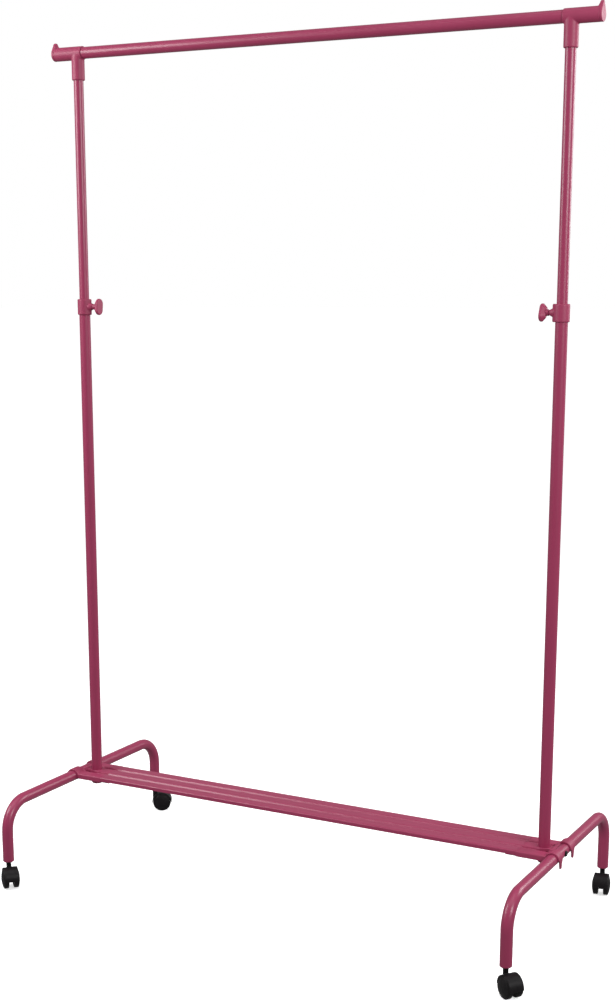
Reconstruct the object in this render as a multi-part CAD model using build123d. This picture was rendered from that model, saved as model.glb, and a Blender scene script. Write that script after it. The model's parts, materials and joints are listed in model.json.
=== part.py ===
from build123d import *
import math
import os

# Single-rail rolling garment rack, height adjustable, with a low shelf bar and four twin-wheel casters.
# All sizes are in millimetres. X runs along the hanging rail, Y from the front (-) to the back (+)
# and Z up from the floor. The origin is on the floor, midway between the uprights.

# Overall layout
RACK_WIDTH = 1110.0  # over the outer faces of the two rail caps
UPRIGHT_X = 500.0  # upright axis from the middle of the rack
RAIL_Z = 1621.0  # rail axis above the floor, at the fifth of its six heights
COLLAR_Z = 1122.5  # underside of the height collar
LEG_X = 531.0  # leg plane from the middle of the rack
LEG_Z = 167.0  # axis of the leg's level stretch
LEG_END_Y = 265.0  # axis of the leg's upright ends
LEG_END_Z = 51.0  # where the leg tube ends, above its caster
LEG_BEND = 55.0  # bend radius of the leg, on its axis

# Tubes: outer diameter and bore
RAIL_OD, RAIL_BORE = 22.0, 20.0
UPPER_OD, UPPER_BORE = 19.0, 17.0
LOWER_OD, LOWER_BORE = 22.0, 19.6
LEG_OD, LEG_BORE = 22.0, 19.6
LOWER_TOP_Z = 1134.5  # top end of the lower upright, inside the collar
LOWER_BOTTOM_Z = 151.0
UPPER_BOTTOM_Z = 956.0

RUNNING_GAP = 0.05  # radial clearance of a running or push fit
FREE_GAP = 0.3  # clearance between moving pieces that never touch

# Tee fitting and rail cap
TEE_OD = 25.5
TEE_INNER_REACH = 13.5  # from the upright's axis towards the middle of the rail
TEE_DROP = 50.5  # from the rail's axis down to the sleeve's mouth
CAP_THICKNESS = 5.0
CAP_GUSSET = 4.0  # length of the slope behind the cap's raised lip
LIP_RADIUS = 4.8
LIP_HEIGHT = 21.2  # top of the lip above the rail's axis
CAP_SPIGOT = 16.0

# Height collar and clamping screw, measured from the upright's axis
COLLAR_OD = 27.5
COLLAR_HEIGHT = 31.0
COLLAR_NOSE_X, COLLAR_NOSE_R = 14.0, 3.0  # the small end of the collar's egg-shaped plan
BOSS_ROOT_R, BOSS_TIP_R, BOSS_REACH = 7.8, 3.9, 22.8
SCREW_Z = 1138.5
STUD_D = 6.0
STUD_TIP_REACH = UPPER_OD / 2 + 0.4  # the stud's tip stays just clear of the inner tube
STUD_END_REACH = 29.0
KNOB_REACH = 23.1  # the knob's inner end when the screw is tight
KNOB_LENGTH = 16.0
KNOB_GRIP = 11.3  # depth of the two-winged grip
KNOB_SPAN = 32.0
KNOB_BREADTH = 20.0
KNOB_FLARE = 6.5  # slope of the grip's back towards the hub
KNOB_HUB_R = 5.6
LEFT_SCREW_TURN, RIGHT_SCREW_TURN = -2.0, 180.0  # heading of each screw about Z, in degrees
LEFT_KNOB_LEAN, RIGHT_KNOB_LEAN = -5.0, 24.0  # each knob's turn about its screw, in degrees

# Shelf bar
SHELF_WIDTH = 89.0
SHELF_TOP_Z = 173.4
SHELF_BOTTOM_Z = 164.7
SHELF_SHEET = 1.5
SHELF_HALF_LENGTH = 462.0
GROOVE_Y = 17.0
GROOVE_TOP, GROOVE_FLOOR = 12.0, 5.6  # width of a groove at the top and on its floor
GROOVE_DEPTH = 4.0

# End bracket between shelf, upright and leg
BRACKET_BOTTOM_Z = 162.0
CLIP_INNER_Y, CLIP_OUTER_Y = 21.0, 45.0
CLIP_WALL = 3.4
CLAW_TIP_Z = 149.0
SOCKET_R = 13.5
SOCKET_BOTTOM_Z = 154.0
FLOOR_Z = 165.5  # floor of the bracket's two pockets
TONGUE_LENGTH = 22.0

# Leg bolt
BOLT_D = 6.0
BOLT_HEAD_R, BOLT_HEAD_LENGTH = 4.8, 2.0
WASHER_R, WASHER_THICKNESS = 5.6, 0.6
NUT_FLATS, NUT_THICKNESS = 10.0, 5.0
NUT_X = 513.0

# Caster
WHEEL_R = 20.0
WHEEL_INNER, WHEEL_TREAD_EDGE, WHEEL_FACE = 5.5, 14.2, 18.0  # distances from the caster's middle plane
AXLE_D = 5.0
AXLE_HALF_LENGTH = 12.5
TRAIL = 16.0  # swivel axis to axle
HOOD_OUTER_R, HOOD_INNER_R = 22.0, 20.6
HOOD_HALF_WIDTH = 14.0
HOOD_FRONT_ANGLE, HOOD_BACK_ANGLE = -5.0, 182.0  # ends of the hood about the axle, in degrees
WEB_HALF_WIDTH = 3.0
NECK_R, NECK_TOP_Z = 5.0, 46.6
STEM_D, STEM_TOP_Z = 7.0, 73.0
NOSE_TIP_R, NOSE_TIP_Z = 5.8, 47.0

# Heading of each caster's trail about Z, in degrees
CASTERS = {
    "front_left": (-1, -1, -42.0),
    "front_right": (1, -1, -37.0),
    "back_left": (-1, 1, 31.0),
    "back_right": (1, 1, -78.0),
}

STANDING = (Align.CENTER, Align.CENTER, Align.MIN)
FROM_X0 = (Align.MIN, Align.CENTER, Align.CENTER)


def rod(diameter, bottom, top):
    """Upright round bar between two heights."""
    return Pos(0, 0, bottom) * Cylinder(diameter / 2, top - bottom, align=STANDING)


def rod_x(diameter, start, end):
    """Round bar along X between two places."""
    return Pos(start, 0, 0) * Rot(0, 90, 0) * Cylinder(diameter / 2, end - start, align=STANDING)


def rod_y(diameter, start, end):
    """Round bar along Y between two places."""
    return Pos(0, start, 0) * Rot(-90, 0, 0) * Cylinder(diameter / 2, end - start, align=STANDING)


def block(x0, x1, y0, y1, z0, z1):
    """Square-edged block between opposite corners."""
    return Pos((x0 + x1) / 2, (y0 + y1) / 2, (z0 + z1) / 2) * Box(x1 - x0, y1 - y0, z1 - z0)


def rounded_ends(solid, axis, radius):
    """Rounds the outermost edge loop at both ends of a turned shape."""
    ends = solid.edges().filter_by(GeomType.CIRCLE).sort_by(axis)
    return fillet([ends[0], ends[-1]], radius)


# ---------------------------------------------------------------- upper frame


def rail_tube():
    half = RACK_WIDTH / 2 - CAP_THICKNESS - 2
    return Pos(0, 0, RAIL_Z) * (rod_x(RAIL_OD, -half, half) - rod_x(RAIL_BORE, -half, half))


def tee_fitting():
    """Right-hand tee: a level sleeve over the rail and a hanging sleeve over the upright."""
    inner = UPRIGHT_X - TEE_INNER_REACH
    outer = RACK_WIDTH / 2 - CAP_THICKNESS
    level = rod_x(TEE_OD, inner, outer)
    level = fillet(level.edges().filter_by(GeomType.CIRCLE).sort_by(Axis.X)[0], 1.4)
    drop = rod(TEE_OD - 0.4, -TEE_DROP, 0)
    drop = fillet(drop.edges().filter_by(GeomType.CIRCLE).sort_by(Axis.Z)[0], 1.6)
    body = level + Pos(UPRIGHT_X, 0, 0) * drop
    body -= rod_x(RAIL_OD + 2 * RUNNING_GAP, inner, outer)
    body -= Pos(UPRIGHT_X, 0, 0) * rod(UPPER_OD + 2 * RUNNING_GAP, -TEE_DROP, -RAIL_OD / 4)
    return Pos(0, 0, RAIL_Z) * body


def cap_outline():
    """Egg-shaped face: the sleeve's circle drawn up into a small rounded lip."""
    lip = Pos(0, LIP_HEIGHT - LIP_RADIUS) * Circle(LIP_RADIUS)
    return make_hull((Circle(TEE_OD / 2).edges() + lip.edges()))


def end_cap():
    """Right-hand rail cap with a raised lip that keeps hangers on the rail."""
    outer = RACK_WIDTH / 2
    inner = outer - CAP_THICKNESS
    plate = extrude(Pos(inner, 0, 0) * (Plane.YZ * cap_outline()), CAP_THICKNESS)
    plate = fillet(plate.faces().sort_by(Axis.X)[-1].edges(), 1.2)
    gusset = loft([
        Pos(inner, 0, 0) * (Plane.YZ * cap_outline()),
        Pos(inner - CAP_GUSSET, 0, 0) * (Plane.YZ * Circle(TEE_OD / 2)),
    ])
    gusset -= rod_x(TEE_OD + 2 * RUNNING_GAP, inner - 2 * CAP_GUSSET, inner)
    gusset = gusset.solids().sort_by(Axis.Z)[-1]
    spigot = rod_x(RAIL_BORE - 2 * RUNNING_GAP, inner - CAP_SPIGOT, inner)
    return Pos(0, 0, RAIL_Z) * (plate + gusset + spigot)


def upper_upright():
    top = RAIL_Z - RAIL_OD / 2 - 0.6
    tube = rod(UPPER_OD, UPPER_BOTTOM_Z, top) - rod(UPPER_BORE, UPPER_BOTTOM_Z, top)
    return Pos(UPRIGHT_X, 0, 0) * tube


def tube_guide():
    """Plug in the inner tube's lower end that centres it in the outer tube."""
    collar = rod(LOWER_BORE - 2 * RUNNING_GAP, UPPER_BOTTOM_Z - 8, UPPER_BOTTOM_Z)
    collar = chamfer(collar.edges().filter_by(GeomType.CIRCLE).sort_by(Axis.Z)[0], 1.0)
    spigot = rod(UPPER_BORE - 2 * RUNNING_GAP, UPPER_BOTTOM_Z, UPPER_BOTTOM_Z + 14)
    return Pos(UPRIGHT_X, 0, 0) * (collar + spigot)


# ---------------------------------------------------------------- height collar and clamping screw
# These three are drawn about the upright's axis with the screw pointing along +X.


def collar_boss():
    """Ball-shaped boss on the collar's nose, turned about the screw's axis."""
    side = Line((0, 8), (BOSS_ROOT_R, 8))
    dome = ThreePointArc(side @ 1, (BOSS_ROOT_R - 0.8, 17.5), (BOSS_TIP_R, BOSS_REACH))
    close = Polyline([dome @ 1, (0, BOSS_REACH), (0, 8)])
    boss = revolve(Plane.XZ * make_face(Curve() + [side, dome, close]), Axis.Z)
    return Pos(0, 0, SCREW_Z) * Rot(0, 90, 0) * boss


def height_collar():
    plan = make_hull(Circle(COLLAR_OD / 2).edges() + (Pos(COLLAR_NOSE_X, 0) * Circle(COLLAR_NOSE_R)).edges())
    ring = Pos(0, 0, COLLAR_Z) * extrude(plan, COLLAR_HEIGHT)
    ring = fillet(ring.faces().sort_by(Axis.Z)[0].edges(), 2.0)
    ring = fillet(ring.faces().sort_by(Axis.Z)[-1].edges(), 2.0)
    body = ring + collar_boss()
    body -= rod(UPPER_OD + 2 * RUNNING_GAP, COLLAR_Z, COLLAR_Z + COLLAR_HEIGHT)
    body -= rod(LOWER_OD + 2 * RUNNING_GAP, COLLAR_Z, LOWER_TOP_Z + RUNNING_GAP)
    return body - Pos(0, 0, SCREW_Z) * rod_x(STUD_D + 2 * RUNNING_GAP, 1, BOSS_REACH + 1)


def clamp_stud():
    stud = rod_x(STUD_D, STUD_TIP_REACH, STUD_END_REACH)
    tip = stud.edges().filter_by(GeomType.CIRCLE).sort_by(Axis.X)[0]
    return Pos(0, 0, SCREW_Z) * chamfer(tip, 0.6)


def clamp_knob():
    """Two-winged knob: an oblong grip with a sloping back on a short round hub."""
    outline = Plane.YZ * Rot(0, 0, 90) * SlotOverall(KNOB_SPAN, KNOB_BREADTH)
    grip = Pos(KNOB_LENGTH - KNOB_GRIP, 0, 0) * extrude(outline, KNOB_GRIP)
    grip = chamfer(grip.faces().sort_by(Axis.X)[0].edges(), KNOB_FLARE)
    grip = fillet(grip.faces().sort_by(Axis.X)[-1].edges(), 2.4)
    knob = Pos(KNOB_REACH, 0, 0) * (grip + rod_x(2 * KNOB_HUB_R, 0, KNOB_LENGTH - 2))
    knob -= rod_x(STUD_D + 2 * RUNNING_GAP, KNOB_REACH - 1, STUD_END_REACH + 0.3)
    return Pos(0, 0, SCREW_Z) * knob


# ---------------------------------------------------------------- base


def lower_upright():
    tube = rod(LOWER_OD, LOWER_BOTTOM_Z, LOWER_TOP_Z) - rod(LOWER_BORE, LOWER_BOTTOM_Z, LOWER_TOP_Z)
    return Pos(UPRIGHT_X, 0, 0) * tube


def foot_plug():
    """Domed plug closing the upright's lower end under the bracket."""
    dome = rod(LOWER_OD + 1.6, LOWER_BOTTOM_Z - 7, LOWER_BOTTOM_Z)
    dome = fillet(dome.edges().filter_by(GeomType.CIRCLE).sort_by(Axis.Z)[0], 4.0)
    spigot = rod(LOWER_BORE - 2 * RUNNING_GAP, LOWER_BOTTOM_Z, LOWER_BOTTOM_Z + 16)
    return Pos(UPRIGHT_X, 0, 0) * (dome + spigot)


def leg_path():
    """Arch of the leg's axis, in its own upright plane."""
    reach, bend = LEG_END_Y, LEG_BEND
    front = Line((0, -reach, LEG_END_Z), (0, -reach, LEG_Z - bend))
    middle = Line((0, -reach + bend, LEG_Z), (0, reach - bend, LEG_Z))
    back = Line((0, reach, LEG_Z - bend), (0, reach, LEG_END_Z))
    diagonal = bend * (1 - math.sqrt(0.5))
    front_bend = ThreePointArc(front @ 1, (0, -reach + diagonal, LEG_Z - diagonal), middle @ 0)
    back_bend = ThreePointArc(middle @ 1, (0, reach - diagonal, LEG_Z - diagonal), back @ 0)
    return Wire([front, front_bend, middle, back_bend, back])


def leg_tube():
    ring = Circle(LEG_OD / 2) - Circle(LEG_BORE / 2)
    section = Pos(0, -LEG_END_Y, LEG_END_Z) * ring
    tube = Pos(LEG_X, 0, 0) * sweep(section, path=leg_path())
    return tube - Pos(0, 0, LEG_Z) * rod_x(BOLT_D + 0.6, LEG_X - LEG_OD, LEG_X + LEG_OD)


def shelf_section():
    """Cross-section of the shelf bar: three flat ridges, two grooves and down-turned edges."""
    half = SHELF_WIDTH / 2
    height = SHELF_TOP_Z - SHELF_BOTTOM_Z
    outline = Pos(0, -height / 2) * Rectangle(SHELF_WIDTH, height)
    outline = fillet(outline.vertices().sort_by(Axis.Y)[-2:], 3.6)
    for groove_y in (-GROOVE_Y, GROOVE_Y):
        top, floor = GROOVE_TOP / 2, GROOVE_FLOOR / 2
        corners = [(-top, 0), (-floor, -GROOVE_DEPTH), (floor, -GROOVE_DEPTH), (top, 0)]
        cut = Pos(groove_y, 0) * make_face(Polyline(corners, close=True))
        outline -= fillet(cut.vertices().sort_by(Axis.Y)[:2], 1.5)
    shoulders = [v for v in outline.vertices() if abs(v.Y) < 0.01 and abs(v.X) < half - 5]
    outline = fillet(shoulders, 3.0)
    hollow = offset(outline, amount=-SHELF_SHEET)
    opening = Pos(0, -height) * Rectangle(SHELF_WIDTH - 2 * SHELF_SHEET, 4 * SHELF_SHEET)
    return outline - hollow - opening


def shelf():
    section = Plane.YZ * shelf_section()
    return Pos(-SHELF_HALF_LENGTH, 0, SHELF_TOP_Z) * extrude(section, 2 * SHELF_HALF_LENGTH)


def side_ridge():
    """Back ridge of the bracket, from the shelf's end to the leg, with its clip over the leg."""
    ridge = block(SHELF_HALF_LENGTH, LEG_X - 4, CLIP_INNER_Y, CLIP_OUTER_Y, BRACKET_BOTTOM_Z, SHELF_TOP_Z)
    ridge = fillet(ridge.edges().filter_by(Axis.X).sort_by(Axis.Z)[-2:], 3.4)
    low_edge = ridge.edges().filter_by(Axis.Y).sort_by(Axis.Z)[:2].sort_by(Axis.X)[-1]
    ridge = chamfer(low_edge, 4.0)
    leg_axis = Pos(LEG_X, 0, LEG_Z)
    clip = rod_y(LEG_OD + 2 * CLIP_WALL, CLIP_INNER_Y, CLIP_OUTER_Y)
    clip = rounded_ends(clip, Axis.Y, 1.0)
    below = block(-40, 40, 0, 60, -40, 0)
    return ridge + leg_axis * (clip - below)


def claw():
    """Hook tip that hangs from the clip on the leg's outer side."""
    middle = (CLIP_INNER_Y + CLIP_OUTER_Y) / 2
    root, tip = 8.6, 3.2
    drop = LEG_Z - CLAW_TIP_Z
    outline = Polyline([
        (middle - root, 0), (middle + root, 0), (middle + 5.4, -drop * 0.4),
        (middle + tip, -drop), (middle - tip, -drop), (middle - 5.4, -drop * 0.4),
    ], close=True)
    plate = extrude(Plane.YZ * make_face(outline), CLIP_WALL)
    plate = fillet(plate.edges().filter_by(Axis.X).sort_by(Axis.Z)[:2], 2.6)
    return Pos(LEG_X + LEG_OD / 2, 0, LEG_Z) * plate


def end_bracket():
    """Right-hand bracket: joins shelf, upright and leg, and clips over the leg with two claws."""
    shelf_end, cradle = SHELF_HALF_LENGTH, LEG_X - 16
    rim_z = SHELF_TOP_Z - GROOVE_DEPTH
    body = side_ridge() + claw()
    body += mirror(body, about=Plane.XZ)
    body += block(shelf_end, cradle + 2, -CLIP_INNER_Y - 1, CLIP_INNER_Y + 1, BRACKET_BOTTOM_Z, FLOOR_Z)
    nose = block(shelf_end, UPRIGHT_X, -13.5, 13.5, BRACKET_BOTTOM_Z, SHELF_TOP_Z)
    nose = fillet(nose.edges().filter_by(Axis.X).sort_by(Axis.Z)[-2:], 1.8)
    body += nose
    body += block(shelf_end, UPRIGHT_X - 10, -CLIP_INNER_Y - 1, CLIP_INNER_Y + 1, BRACKET_BOTTOM_Z, rim_z)
    wall = block(cradle, LEG_X - 6, -CLIP_INNER_Y - 1, CLIP_INNER_Y + 1, BRACKET_BOTTOM_Z - 3, LEG_Z + 10.5)
    inboard_top = wall.edges().filter_by(Axis.Y).sort_by(Axis.Z)[-2:].sort_by(Axis.X)[0]
    body += chamfer(inboard_top, 4.0)
    body += block(UPRIGHT_X, cradle + 2, -10, 10, BRACKET_BOTTOM_Z - 3, SHELF_TOP_Z + 1)
    body += Pos(UPRIGHT_X, 0, 0) * rod(2 * SOCKET_R, SOCKET_BOTTOM_Z, SHELF_TOP_Z + 1.2)
    tongue_top = SHELF_TOP_Z - GROOVE_DEPTH - SHELF_SHEET - 0.1
    tongue_y = SHELF_WIDTH / 2 - SHELF_SHEET - 0.5
    body += block(shelf_end - TONGUE_LENGTH, shelf_end + 1, -tongue_y, tongue_y, BRACKET_BOTTOM_Z, tongue_top)
    body -= Pos(LEG_X, 0, LEG_Z) * rod_y(LEG_OD + 2 * RUNNING_GAP, -60, 60)
    body -= Pos(UPRIGHT_X, 0, 0) * rod(LOWER_OD + 2 * RUNNING_GAP, SOCKET_BOTTOM_Z - 5, SHELF_TOP_Z + 10)
    body -= Pos(0, 0, LEG_Z) * rod_x(BOLT_D + 0.6, UPRIGHT_X + LOWER_OD / 2, LEG_X)
    body -= nut_pocket()
    for screw in shelf_screw_places():
        body -= Pos(*screw) * rod(3.2, BRACKET_BOTTOM_Z - 1, tongue_top + 1)
    return body


def hexagon_prism(flats, start, end):
    outline = Plane.YZ * RegularPolygon(flats / 2, 6, major_radius=False, rotation=30)
    return extrude(Pos(start, 0, 0) * outline, end - start)


def nut_pocket():
    """Slot, open at the bottom, that holds the bolt's nut between upright and leg."""
    half = NUT_FLATS / 2 + 0.1
    start, end = NUT_X - 0.1, NUT_X + NUT_THICKNESS + 0.1
    return block(start, end, -half, half, BRACKET_BOTTOM_Z - 4, LEG_Z + 6)


def leg_bolt():
    """Bolt and washer through the leg into the bracket, head on the outer side."""
    seat = LEG_X + LEG_OD / 2
    washer = rod_x(2 * WASHER_R, seat, seat + WASHER_THICKNESS)
    head_start = seat + WASHER_THICKNESS
    head = rod_x(2 * BOLT_HEAD_R, head_start, head_start + BOLT_HEAD_LENGTH)
    head = fillet(head.edges().filter_by(GeomType.CIRCLE).sort_by(Axis.X)[-1], 1.4)
    recess = hexagon_prism(3.6, head_start + 0.6, head_start + BOLT_HEAD_LENGTH)
    shank = rod_x(BOLT_D, NUT_X - 1, seat + 1)
    return Pos(0, 0, LEG_Z) * (washer + head - recess + shank)


def leg_bolt_nut():
    nut = hexagon_prism(NUT_FLATS, NUT_X, NUT_X + NUT_THICKNESS)
    return Pos(0, 0, LEG_Z) * (nut - rod_x(BOLT_D + 2 * RUNNING_GAP, NUT_X - 1, NUT_X + 6))


def shelf_screw_places():
    x = SHELF_HALF_LENGTH - TONGUE_LENGTH / 2
    return [(x, -GROOVE_Y, 0), (x, GROOVE_Y, 0)]


def shelf_screws():
    """Four short screws that hold the shelf's grooves down on the brackets' tongues."""
    top = SHELF_TOP_Z - GROOVE_DEPTH - SHELF_SHEET - 0.1
    head = rod(6.0, BRACKET_BOTTOM_Z - 1.8, BRACKET_BOTTOM_Z)
    head = fillet(head.edges().filter_by(GeomType.CIRCLE).sort_by(Axis.Z)[0], 0.8)
    screw = head + rod(3.0, BRACKET_BOTTOM_Z, top)
    right = [Pos(*place) * screw for place in shelf_screw_places()]
    left = [mirror(solid, about=Plane.YZ) for solid in right]
    return Compound(children=right + left)


# ---------------------------------------------------------------- casters
# Drawn with the swivel axis on Z and the wheels trailing along +X.


def leg_plug():
    """Black plug in the leg's end: a tapered nose below and a socket for the caster's stem."""
    nose = Pos(0, 0, NOSE_TIP_Z) * Cone(NOSE_TIP_R, LEG_OD / 2, LEG_END_Z - NOSE_TIP_Z, align=STANDING)
    spigot = rod(LEG_BORE - 2 * RUNNING_GAP, LEG_END_Z, LEG_END_Z + 32)
    return nose + spigot - rod(STEM_D + 2 * RUNNING_GAP, NOSE_TIP_Z - 1, STEM_TOP_Z + 1)


def hood_sector(outer, inner, half_width, start, end):
    """Part of a ring about the axle between two angles, measured up from the trailing side."""
    size = 3 * outer
    middle = math.radians((start + end) / 2)
    spread = math.radians((end - start) / 2)
    rays = [(0, 0)]
    for step in (-1, -0.5, 0, 0.5, 1):
        angle = middle + step * spread
        rays.append((size * math.cos(angle), size * math.sin(angle)))
    wedge = make_face(Polyline(rays, close=True))
    face = (Circle(outer) - Circle(inner)) & wedge if inner else Circle(outer) & wedge
    return Pos(TRAIL, half_width, WHEEL_R) * extrude(Plane.XZ * face, 2 * half_width)


def caster_hood():
    shell = hood_sector(HOOD_OUTER_R, HOOD_INNER_R, HOOD_HALF_WIDTH, HOOD_FRONT_ANGLE, HOOD_BACK_ANGLE)
    web = hood_sector(HOOD_INNER_R + 1, 0, WEB_HALF_WIDTH, 2, 178)
    boss = Pos(TRAIL, 0, WHEEL_R) * rod_y(12.0, -WHEEL_INNER + FREE_GAP, WHEEL_INNER - FREE_GAP)
    neck = rod(2 * NECK_R, WHEEL_R + 5, NECK_TOP_Z)
    wheel_space = Pos(TRAIL, 0, WHEEL_R) * rod_y(2 * HOOD_INNER_R, WEB_HALF_WIDTH, HOOD_HALF_WIDTH)
    wheel_space += mirror(wheel_space, about=Plane.XZ)
    body = shell + web + (neck - wheel_space) + boss
    body -= Pos(TRAIL, 0, WHEEL_R) * rod_y(AXLE_D + 2 * RUNNING_GAP, -10, 10)
    return body - rod(STEM_D + 2 * RUNNING_GAP, WHEEL_R + 18, NECK_TOP_Z + 1)


def caster_stem():
    stem = rod(STEM_D, WHEEL_R + 18, STEM_TOP_Z)
    return chamfer(stem.edges().filter_by(GeomType.CIRCLE).sort_by(Axis.Z)[-1], 0.8)


def caster_axle():
    axle = rod_y(AXLE_D, -AXLE_HALF_LENGTH, AXLE_HALF_LENGTH)
    return Pos(TRAIL, 0, WHEEL_R) * axle


def caster_wheel():
    """Wheel on the +Y side: rounded tread and a domed outer face."""
    rim = WHEEL_R - 1.6
    outline = Polyline([(0, WHEEL_INNER), (WHEEL_R - 1, WHEEL_INNER), (WHEEL_R, WHEEL_INNER + 1),
                        (WHEEL_R, WHEEL_TREAD_EDGE - 0.8)])
    shoulder = ThreePointArc(outline @ 1, (WHEEL_R - 0.5, WHEEL_TREAD_EDGE), (rim, WHEEL_TREAD_EDGE + 0.5))
    dome = TangentArc((0, WHEEL_FACE), shoulder @ 1, tangent=(1, 0))
    close = Line((0, WHEEL_FACE), outline @ 0)
    face = make_face(Curve() + [outline, shoulder, dome, close])
    wheel = Rot(-90, 0, 0) * revolve(Plane.XZ * face, Axis.Z)
    wheel -= rod_y(AXLE_D + 2 * RUNNING_GAP, WHEEL_INNER - 1, AXLE_HALF_LENGTH + 0.4)
    return Pos(TRAIL, 0, WHEEL_R) * wheel


def caster_nodes(corner, side, end, heading):
    place = Pos(side * LEG_X, end * LEG_END_Y, 0)
    swivel = place * Rot(0, 0, heading)
    wheel = caster_wheel()
    return {
        f"{corner}_leg_plug": place * leg_plug(),
        f"{corner}_caster_stem": swivel * caster_stem(),
        f"{corner}_caster_hood": swivel * caster_hood(),
        f"{corner}_caster_axle": swivel * caster_axle(),
        f"{corner}_caster_wheel_a": swivel * wheel,
        f"{corner}_caster_wheel_b": swivel * mirror(wheel, about=Plane.XZ),
    }


# ---------------------------------------------------------------- assembly


def mirrored_nodes():
    """Pieces drawn for the right side that have a mirror twin on the left."""
    builders = [
        tee_fitting, end_cap, upper_upright, tube_guide, lower_upright, foot_plug,
        leg_tube, end_bracket, leg_bolt, leg_bolt_nut,
    ]
    nodes = {}
    for build in builders:
        right = build()
        nodes[f"right_{build.__name__}"] = right
        nodes[f"left_{build.__name__}"] = mirror(right, about=Plane.YZ)
    return nodes


def screw_nodes():
    """Collar, stud and knob of each side, turned to the screw's heading."""
    sides = (
        ("left", -1, LEFT_SCREW_TURN, LEFT_KNOB_LEAN),
        ("right", 1, RIGHT_SCREW_TURN, RIGHT_KNOB_LEAN),
    )
    nodes = {}
    for name, side, turn, lean in sides:
        place = Pos(side * UPRIGHT_X, 0, 0) * Rot(0, 0, turn)
        nodes[f"{name}_height_collar"] = place * height_collar()
        nodes[f"{name}_clamp_stud"] = place * clamp_stud()
        leaning = Pos(0, 0, SCREW_Z) * Rot(lean, 0, 0) * Pos(0, 0, -SCREW_Z)
        nodes[f"{name}_clamp_knob"] = place * leaning * clamp_knob()
    return nodes


def all_nodes():
    nodes = {"rail_tube": rail_tube(), "shelf": shelf(), "shelf_screws": shelf_screws()}
    nodes.update(mirrored_nodes())
    nodes.update(screw_nodes())
    for corner, (side, end, heading) in CASTERS.items():
        nodes.update(caster_nodes(corner, side, end, heading))
    return nodes


os.makedirs("parts", exist_ok=True)
for node_name, node_shape in all_nodes().items():
    export_step(node_shape, f"parts/{node_name}.step")
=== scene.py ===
import json
import math

import bmesh
import bpy
from mathutils import Matrix, Vector

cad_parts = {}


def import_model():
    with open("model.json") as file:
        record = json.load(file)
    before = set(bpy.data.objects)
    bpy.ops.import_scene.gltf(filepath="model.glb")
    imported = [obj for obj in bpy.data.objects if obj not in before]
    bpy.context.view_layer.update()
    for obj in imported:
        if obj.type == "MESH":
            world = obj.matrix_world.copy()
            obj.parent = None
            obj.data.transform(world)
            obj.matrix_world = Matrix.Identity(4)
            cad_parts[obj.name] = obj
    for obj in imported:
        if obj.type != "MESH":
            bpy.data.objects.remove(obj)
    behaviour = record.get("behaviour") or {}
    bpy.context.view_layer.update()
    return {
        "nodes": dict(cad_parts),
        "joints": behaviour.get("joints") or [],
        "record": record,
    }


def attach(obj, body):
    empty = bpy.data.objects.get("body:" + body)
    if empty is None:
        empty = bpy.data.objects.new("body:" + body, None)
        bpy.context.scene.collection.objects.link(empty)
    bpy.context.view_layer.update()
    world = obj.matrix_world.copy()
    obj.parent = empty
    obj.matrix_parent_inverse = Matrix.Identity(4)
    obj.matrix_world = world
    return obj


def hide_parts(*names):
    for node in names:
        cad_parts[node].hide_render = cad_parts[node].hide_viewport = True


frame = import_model()

MILLIMETRE = 0.001

# Colours, linear
PINK_PAINT = (0.335, 0.036, 0.100, 1)
PINK_PAINT_SHADE = (0.315, 0.033, 0.092, 1)
PINK_PLASTIC = (0.345, 0.040, 0.104, 1)
PINK_PLASTIC_SHADE = (0.325, 0.036, 0.096, 1)
BLACK_PLASTIC = (0.0065, 0.0052, 0.0062, 1)
BLACK_PLASTIC_WORN = (0.013, 0.011, 0.0125, 1)
TREAD_DUST = (0.036, 0.033, 0.033, 1)
ZINC = (0.62, 0.62, 0.60, 1)
ZINC_SHADE = (0.46, 0.46, 0.45, 1)
DARK_STEEL = (0.050, 0.044, 0.047, 1)
DARK_STEEL_SHADE = (0.024, 0.021, 0.023, 1)
WHITE = (1, 1, 1, 1)
FLOOR = (0.90, 0.90, 0.90, 1)
FLOOR_MOTTLE = 0.985  # how much darker the floor is in its darker patches
FLOOR_GLOW = 0.60  # the floor gives off light of its own, so that it stays pale
FLOOR_RADIUS = 60
FLOOR_SIDES = 96

# Camera, fitted to the straight tubes, the casters and the shelf bar
CAMERA_PLACE = (1.4264, -2.6639, 1.1983)
CAMERA_YAW, CAMERA_PITCH, CAMERA_ROLL = 27.835, 11.87, -0.12  # degrees
CAMERA_LENS = 57.54  # millimetres, on a sensor as wide as the next value
CAMERA_SENSOR = 36
CAMERA_SHIFT = (-0.0062, 0.1126)
CAMERA_REACH = 200

# Lights: place, the point aimed at, width and height, and power in watts
SOFTBOXES = {
    "right_panel": ((2.6, -1.2, 1.9), (0.3, 0, 1.5), (1.2, 1.1), 48),
    "left_panel": ((-1.75, -1.35, 1.9), (0, 0, 1.5), (1.2, 1.1), 40),
    "rail_strip": ((-1.5, -2.4, 4.0), (0, 0, 1.6), (3.0, 0.3), 9),
    "back_panel": ((2.2, 2.4, 1.9), (0.3, 0, 1.2), (1.4, 1.4), 52),
}
SKY_PANEL_STRENGTH = 0.8
SKY_PANEL_SPREAD = 50  # degrees across
SKY_PANEL_TILT = (6, 4, 0)  # degrees from straight down
SURROUND_LEVEL = 0.29  # brightness of the surround in light and reflections; the camera sees 1


# ---------------------------------------------------------------- materials


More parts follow.
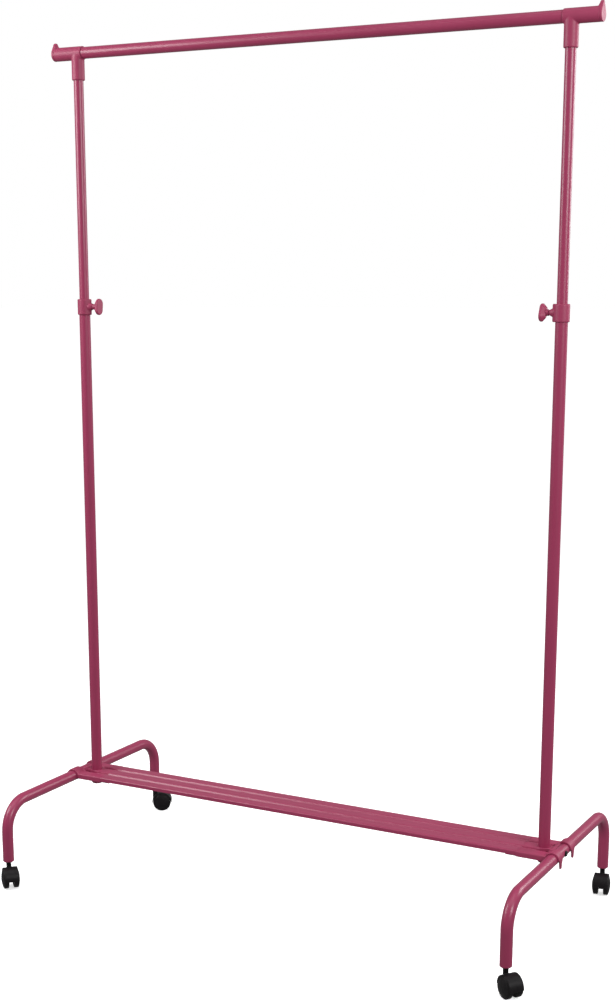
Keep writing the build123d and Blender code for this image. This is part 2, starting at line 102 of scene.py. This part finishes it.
class Nodes:
    """A material's node tree with short calls for the nodes used here."""

    def __init__(self, name):
        self.material = bpy.data.materials.new(name)
        self.material.use_nodes = True
        self.tree = self.material.node_tree
        self.shader = self.tree.nodes["Principled BSDF"]
        self.place = self.tree.nodes.new("ShaderNodeTexCoord").outputs["Object"]

    def link(self, source, target):
        self.tree.links.new(source, target)

    def stretched(self, scale):
        """Object coordinates stretched along each axis."""
        mapping = self.tree.nodes.new("ShaderNodeMapping")
        mapping.inputs["Scale"].default_value = scale
        self.link(self.place, mapping.inputs["Vector"])
        return mapping.outputs["Vector"]

    def noise(self, scale, detail=2.0, roughness=0.5, place=None):
        texture = self.tree.nodes.new("ShaderNodeTexNoise")
        texture.inputs["Scale"].default_value = scale
        texture.inputs["Detail"].default_value = detail
        texture.inputs["Roughness"].default_value = roughness
        self.link(place or self.place, texture.inputs["Vector"])
        return texture.outputs["Fac"]

    def spread(self, value, low, high, start=0.3, end=0.7):
        """Maps a texture's middle range onto low to high."""
        node = self.tree.nodes.new("ShaderNodeMapRange")
        node.inputs["From Min"].default_value = start
        node.inputs["From Max"].default_value = end
        node.inputs["To Min"].default_value = low
        node.inputs["To Max"].default_value = high
        self.link(value, node.inputs["Value"])
        return node.outputs["Result"]

    def mix(self, factor, first, second):
        node = self.tree.nodes.new("ShaderNodeMix")
        node.data_type = "RGBA"
        self.link(factor, node.inputs["Factor"])
        for socket, colour in ((node.inputs["A"], first), (node.inputs["B"], second)):
            if isinstance(colour, tuple):
                socket.default_value = colour
            else:
                self.link(colour, socket)
        return node.outputs["Result"]

    def bump(self, height, strength, distance):
        node = self.tree.nodes.new("ShaderNodeBump")
        node.inputs["Strength"].default_value = strength
        node.inputs["Distance"].default_value = distance
        self.link(height, node.inputs["Height"])
        return node.outputs["Normal"]

    def finish(self, colour=None, roughness=None, normal=None, **constants):
        for socket, value in (("Base Color", colour), ("Roughness", roughness), ("Normal", normal)):
            if value is not None:
                self.link(value, self.shader.inputs[socket])
        for name, value in constants.items():
            self.shader.inputs[name.replace("_", " ")].default_value = value
        return self.material


def powder_coat():
    """Glossy powder coat: faint orange peel, slow colour drift and fine dust in the gloss."""
    n = Nodes("powder_coat")
    drift = n.spread(n.noise(5.0, 2.0), 0.0, 1.0)
    peel = n.noise(420.0, 1.0)
    dust = n.noise(120.0, 4.0)
    return n.finish(
        n.mix(drift, PINK_PAINT, PINK_PAINT_SHADE),
        n.spread(dust, 0.33, 0.37),
        n.bump(peel, 0.02, 0.00004),
        Coat_Weight=0.15, Coat_Roughness=0.14, Specular_IOR_Level=0.4,
    )


def moulded_pink():
    """Satin moulded plastic with a fine grain."""
    n = Nodes("moulded_pink")
    cloud = n.spread(n.noise(26.0, 3.0), 0.0, 1.0)
    grain = n.noise(1500.0, 1.0)
    return n.finish(
        n.mix(cloud, PINK_PLASTIC, PINK_PLASTIC_SHADE),
        n.spread(n.noise(160.0, 3.0), 0.45, 0.52),
        n.bump(grain, 0.08, 0.00005),
        Specular_IOR_Level=0.4,
    )


def moulded_black():
    """Black nylon, slightly greyed where it is handled."""
    n = Nodes("moulded_black")
    worn = n.spread(n.noise(85.0, 6.0, 0.6), 0.0, 1.0, 0.45, 0.8)
    grain = n.noise(1500.0, 2.0)
    return n.finish(
        n.mix(worn, BLACK_PLASTIC, BLACK_PLASTIC_WORN),
        n.spread(n.noise(260.0, 4.0), 0.36, 0.46),
        n.bump(grain, 0.12, 0.00008),
        Specular_IOR_Level=0.2,
    )


def rolling_black():
    """Black nylon wheel with a little floor dust and fine scuffs."""
    n = Nodes("rolling_black")
    dust = n.spread(n.noise(130.0, 8.0, 0.7), 0.0, 0.45, 0.5, 0.85)
    scuffs = n.noise(700.0, 4.0, 0.6)
    return n.finish(
        n.mix(dust, BLACK_PLASTIC, TREAD_DUST),
        n.spread(n.noise(210.0, 5.0), 0.38, 0.60),
        n.bump(scuffs, 0.15, 0.00008),
        Specular_IOR_Level=0.2,
    )


def zinc_plate():
    """Zinc-plated steel with fine turning marks."""
    n = Nodes("zinc_plate")
    marks = n.noise(60.0, 3.0, place=n.stretched((60, 4, 4)))
    bloom = n.spread(n.noise(150.0, 5.0), 0.0, 1.0)
    return n.finish(
        n.mix(bloom, ZINC, ZINC_SHADE),
        n.spread(marks, 0.24, 0.40),
        n.bump(marks, 0.15, 0.00008),
        Metallic=1.0,
    )


def dark_steel_finish():
    """Dark steel of the leg bolts, with faint random changes of tone and gloss."""
    n = Nodes("dark_steel_finish")
    bloom = n.spread(n.noise(170.0, 4.0), 0.0, 1.0)
    return n.finish(
        n.mix(bloom, DARK_STEEL, DARK_STEEL_SHADE),
        n.spread(n.noise(320.0, 3.0), 0.28, 0.40),
        Metallic=1.0,
    )


def studio_floor_material():
    """Pale, nearly even floor that glows a little."""
    n = Nodes("studio_floor")
    mottle = n.spread(n.noise(1.3, 4.0), 0.0, 1.0)
    slightly_darker = tuple(c * FLOOR_MOTTLE for c in FLOOR[:3]) + (1,)
    return n.finish(
        n.mix(mottle, FLOOR, slightly_darker),
        n.spread(n.noise(45.0, 3.0), 0.55, 0.65),
        Emission_Color=WHITE, Emission_Strength=FLOOR_GLOW,
    )


FINISHES = {
    "painted_tube": powder_coat(),
    "pink_plastic": moulded_pink(),
    "black_plastic": moulded_black(),
    "wheel_plastic": rolling_black(),
    "zinc_steel": zinc_plate(),
    "dark_steel": dark_steel_finish(),
}
BODIES = frame["record"]["behaviour"]["bodies"]
NODE_SLOT = {s["node"]: s["material_slot"] for s in frame["record"]["subparts"]}
NODE_BODY = {node: body for body, members in BODIES.items() for node in members}


def dress(piece, slot):
    piece.data.materials.clear()
    piece.data.materials.append(FINISHES[slot])


for name, node in frame["nodes"].items():
    dress(node, NODE_SLOT[name])


# ---------------------------------------------------------------- moulded fittings


WELD_DISTANCE = 1e-6
SMOOTHING = 0.5  # share of the way that each smoothing pass moves a point
# Grid step in metres and number of smoothing passes for each moulded part
SIDE_MOULDINGS = {
    "tee_fitting": (0.0006, 8),
    "end_cap": (0.0005, 5),
    "height_collar": (0.0005, 6),
    "clamp_knob": (0.0004, 6),
    "end_bracket": (0.0007, 5),
    "foot_plug": (0.0006, 5),
}
CORNER_MOULDINGS = {"caster_hood": (0.0004, 6), "leg_plug": (0.0004, 6)}


def replace_node(name, mesh, node):
    """Shows a mesh in place of a node, on the node's body and in its material."""
    piece = bpy.data.objects.new(name, mesh)
    bpy.context.scene.collection.objects.link(piece)
    dress(piece, NODE_SLOT[node])
    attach(piece, NODE_BODY[node])
    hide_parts(node)


def softened(node, voxel, passes):
    """The node's shape with its edges and inner corners rounded as a mould leaves them."""
    mesh = frame["nodes"][node].data.copy()
    welded = bmesh.new()
    welded.from_mesh(mesh)
    bmesh.ops.remove_doubles(welded, verts=welded.verts, dist=WELD_DISTANCE)
    welded.to_mesh(mesh)
    welded.free()
    worker = bpy.data.objects.new("worker", mesh)
    bpy.context.scene.collection.objects.link(worker)
    remesh = worker.modifiers.new("remesh", "REMESH")
    remesh.mode = "VOXEL"
    remesh.voxel_size = voxel
    smooth = worker.modifiers.new("smooth", "SMOOTH")
    smooth.factor = SMOOTHING
    smooth.iterations = passes
    evaluated = worker.evaluated_get(bpy.context.evaluated_depsgraph_get())
    result = bpy.data.meshes.new_from_object(evaluated)
    bpy.data.objects.remove(worker)
    bpy.data.meshes.remove(mesh)
    result.shade_smooth()
    return result


def mould(places, parts):
    """Replaces each moulded part at each place by its softened shape."""
    for place in places:
        for part, (voxel, passes) in parts.items():
            node = f"{place}_{part}"
            replace_node(f"{node}_moulding", softened(node, voxel, passes), node)


mould(("left", "right"), SIDE_MOULDINGS)

# ---------------------------------------------------------------- casters

WHEEL_SEGMENTS = 96
ON_AXIS = 1e-6  # a smaller radius than this is a single point on the axis
SHARP_ANGLE = 50  # degrees; a turned edge sharper than this stays crisp
# Half-section of a wheel in millimetres: radius, distance out from the caster's middle plane
AXLE_HOLE_R, AXLE_HOLE_END = 2.55, 12.9
WHEEL_HUB = [
    (AXLE_HOLE_R, AXLE_HOLE_END), (AXLE_HOLE_R, 5.7), (2.8, 5.5), (7.0, 5.5), (7.4, 5.8), (7.6, 6.8),
]
WHEEL_INNER_DISH = [(16.2, 6.8), (16.6, 5.8), (17.0, 5.5), (19.0, 5.5)]
WHEEL_TREAD = [
    (19.6, 5.7), (19.9, 6.2), (20.0, 6.9), (20.0, 12.9), (19.85, 13.6), (19.5, 14.1), (18.9, 14.35),
]
WHEEL_RIM_GROOVE = [(18.5, 14.35), (18.3, 14.1), (18.1, 14.0), (17.9, 14.15), (17.7, 14.55)]
WHEEL_FACE_EDGE, WHEEL_FACE_MIDDLE = (17.4, 14.9), 17.95
WHEEL_FACE_STEPS = 24
CAP_RING_R, CAP_RING_WIDTH, CAP_RING_DEPTH = 5.0, 0.35, 0.16  # shallow ring round the wheel's middle


def wheel_profile():
    """Closed half-section of a wheel, from its axle hole round the tread to the middle of its face."""
    edge_r, edge_a = WHEEL_FACE_EDGE
    rise = WHEEL_FACE_MIDDLE - edge_a
    dome = []
    for step in range(WHEEL_FACE_STEPS + 1):
        r = edge_r * (1 - step / WHEEL_FACE_STEPS)
        a = edge_a + rise * (1 - (r / edge_r) ** 2)
        ring = math.exp(-((r - CAP_RING_R) / CAP_RING_WIDTH) ** 2)
        dome.append((r, a - CAP_RING_DEPTH * ring))
    outline = WHEEL_HUB + WHEEL_INNER_DISH + WHEEL_TREAD + WHEEL_RIM_GROOVE + dome
    return outline + [(0.0, AXLE_HOLE_END)]


def lathe(profile, segments):
    """Surface of revolution about Z from (radius, height) points in millimetres."""
    mesh = bmesh.new()
    turns = [2 * math.pi * k / segments for k in range(segments)]
    rings = []
    for r, a in profile:
        radius, height = r * MILLIMETRE, a * MILLIMETRE
        if r < ON_AXIS:
            places = [(0, 0, height)]
        else:
            places = [(radius * math.cos(t), radius * math.sin(t), height) for t in turns]
        rings.append([mesh.verts.new(place) for place in places])
    for first, second in zip(rings, rings[1:] + rings[:1]):
        for k in range(segments):
            after = (k + 1) % segments
            corners = [
                first[k % len(first)],
                first[after % len(first)],
                second[after % len(second)],
                second[k % len(second)],
            ]
            corners = list(dict.fromkeys(corners))  # three at the axis, where two are the same
            if len(corners) > 2:
                mesh.faces.new(corners)
    bmesh.ops.recalc_face_normals(mesh, faces=mesh.faces)
    result = bpy.data.meshes.new("turned")
    mesh.to_mesh(result)
    mesh.free()
    result.shade_smooth()
    result.set_sharp_from_angle(angle=math.radians(SHARP_ANGLE))
    return result


def caster_wheels():
    """Turns each wheel about its own axle, with its domed face outward."""
    for joint in frame["joints"]:
        if not joint["name"].endswith("_spin"):
            continue
        node = BODIES[joint["child"]][0]
        axis = Vector(joint["axis"])
        outward = axis if node.endswith("_a") else -axis
        mesh = lathe(wheel_profile(), WHEEL_SEGMENTS)
        turn = outward.to_track_quat("Z", "Y").to_matrix().to_4x4()
        mesh.transform(Matrix.Translation(joint["pos_m"]) @ turn)
        replace_node(f"{node}_turned", mesh, node)


caster_wheels()
mould(("front_left", "front_right", "back_left", "back_right"), CORNER_MOULDINGS)


# ---------------------------------------------------------------- studio


def camera():
    data = bpy.data.cameras.new("photo_camera")
    data.sensor_width = CAMERA_SENSOR
    data.lens = CAMERA_LENS
    data.shift_x, data.shift_y = CAMERA_SHIFT
    data.clip_end = CAMERA_REACH
    seat = bpy.data.objects.new("photo_camera", data)
    seat.location = CAMERA_PLACE
    turn = Matrix.Rotation(math.radians(CAMERA_YAW), 4, "Z")
    tilt = Matrix.Rotation(math.radians(90 - CAMERA_PITCH), 4, "X")
    roll = Matrix.Rotation(math.radians(-CAMERA_ROLL), 4, "Z")
    seat.rotation_euler = (turn @ tilt @ roll).to_euler()
    bpy.context.scene.collection.objects.link(seat)
    bpy.context.scene.camera = seat


def softbox(name, place, target, size, power):
    """Rectangular soft light aimed at a point."""
    data = bpy.data.lights.new(name, "AREA")
    data.shape = "RECTANGLE"
    data.size, data.size_y = size
    data.energy = power
    lamp = bpy.data.objects.new(name, data)
    lamp.location = place
    lamp.rotation_euler = (Vector(target) - Vector(place)).to_track_quat("-Z", "Y").to_euler()
    bpy.context.scene.collection.objects.link(lamp)


def world():
    """Surround that is white to the camera and dimmer in light and reflections."""
    surround = bpy.data.worlds.new("studio")
    bpy.context.scene.world = surround
    surround.use_nodes = True
    tree = surround.node_tree
    background = tree.nodes["Background"]
    path = tree.nodes.new("ShaderNodeLightPath")
    level = tree.nodes.new("ShaderNodeMapRange")
    level.inputs["To Min"].default_value = SURROUND_LEVEL
    level.inputs["To Max"].default_value = 1.0
    tree.links.new(path.outputs["Is Camera Ray"], level.inputs["Value"])
    tree.links.new(level.outputs["Result"], background.inputs["Strength"])
    background.inputs["Color"].default_value = WHITE


def floor():
    """Large pale disc that does not tint or light the object."""
    disc = bmesh.new()
    bmesh.ops.create_circle(disc, cap_ends=True, radius=FLOOR_RADIUS, segments=FLOOR_SIDES)
    mesh = bpy.data.meshes.new("studio_floor")
    disc.to_mesh(mesh)
    disc.free()
    piece = bpy.data.objects.new("studio_floor", mesh)
    bpy.context.scene.collection.objects.link(piece)
    mesh.materials.append(studio_floor_material())
    piece.visible_diffuse = False
    piece.visible_glossy = False


def sky_panel():
    """Broad, weak light from high up."""
    data = bpy.data.lights.new("sky_panel", "SUN")
    data.energy = SKY_PANEL_STRENGTH
    data.angle = math.radians(SKY_PANEL_SPREAD)
    lamp = bpy.data.objects.new("sky_panel", data)
    lamp.rotation_euler = [math.radians(tilt) for tilt in SKY_PANEL_TILT]
    bpy.context.scene.collection.objects.link(lamp)


camera()
world()
floor()
sky_panel()
for name, (place, target, size, power) in SOFTBOXES.items():
    softbox(name, place, target, size, power)
bpy.context.scene.view_settings.view_transform = "Standard"
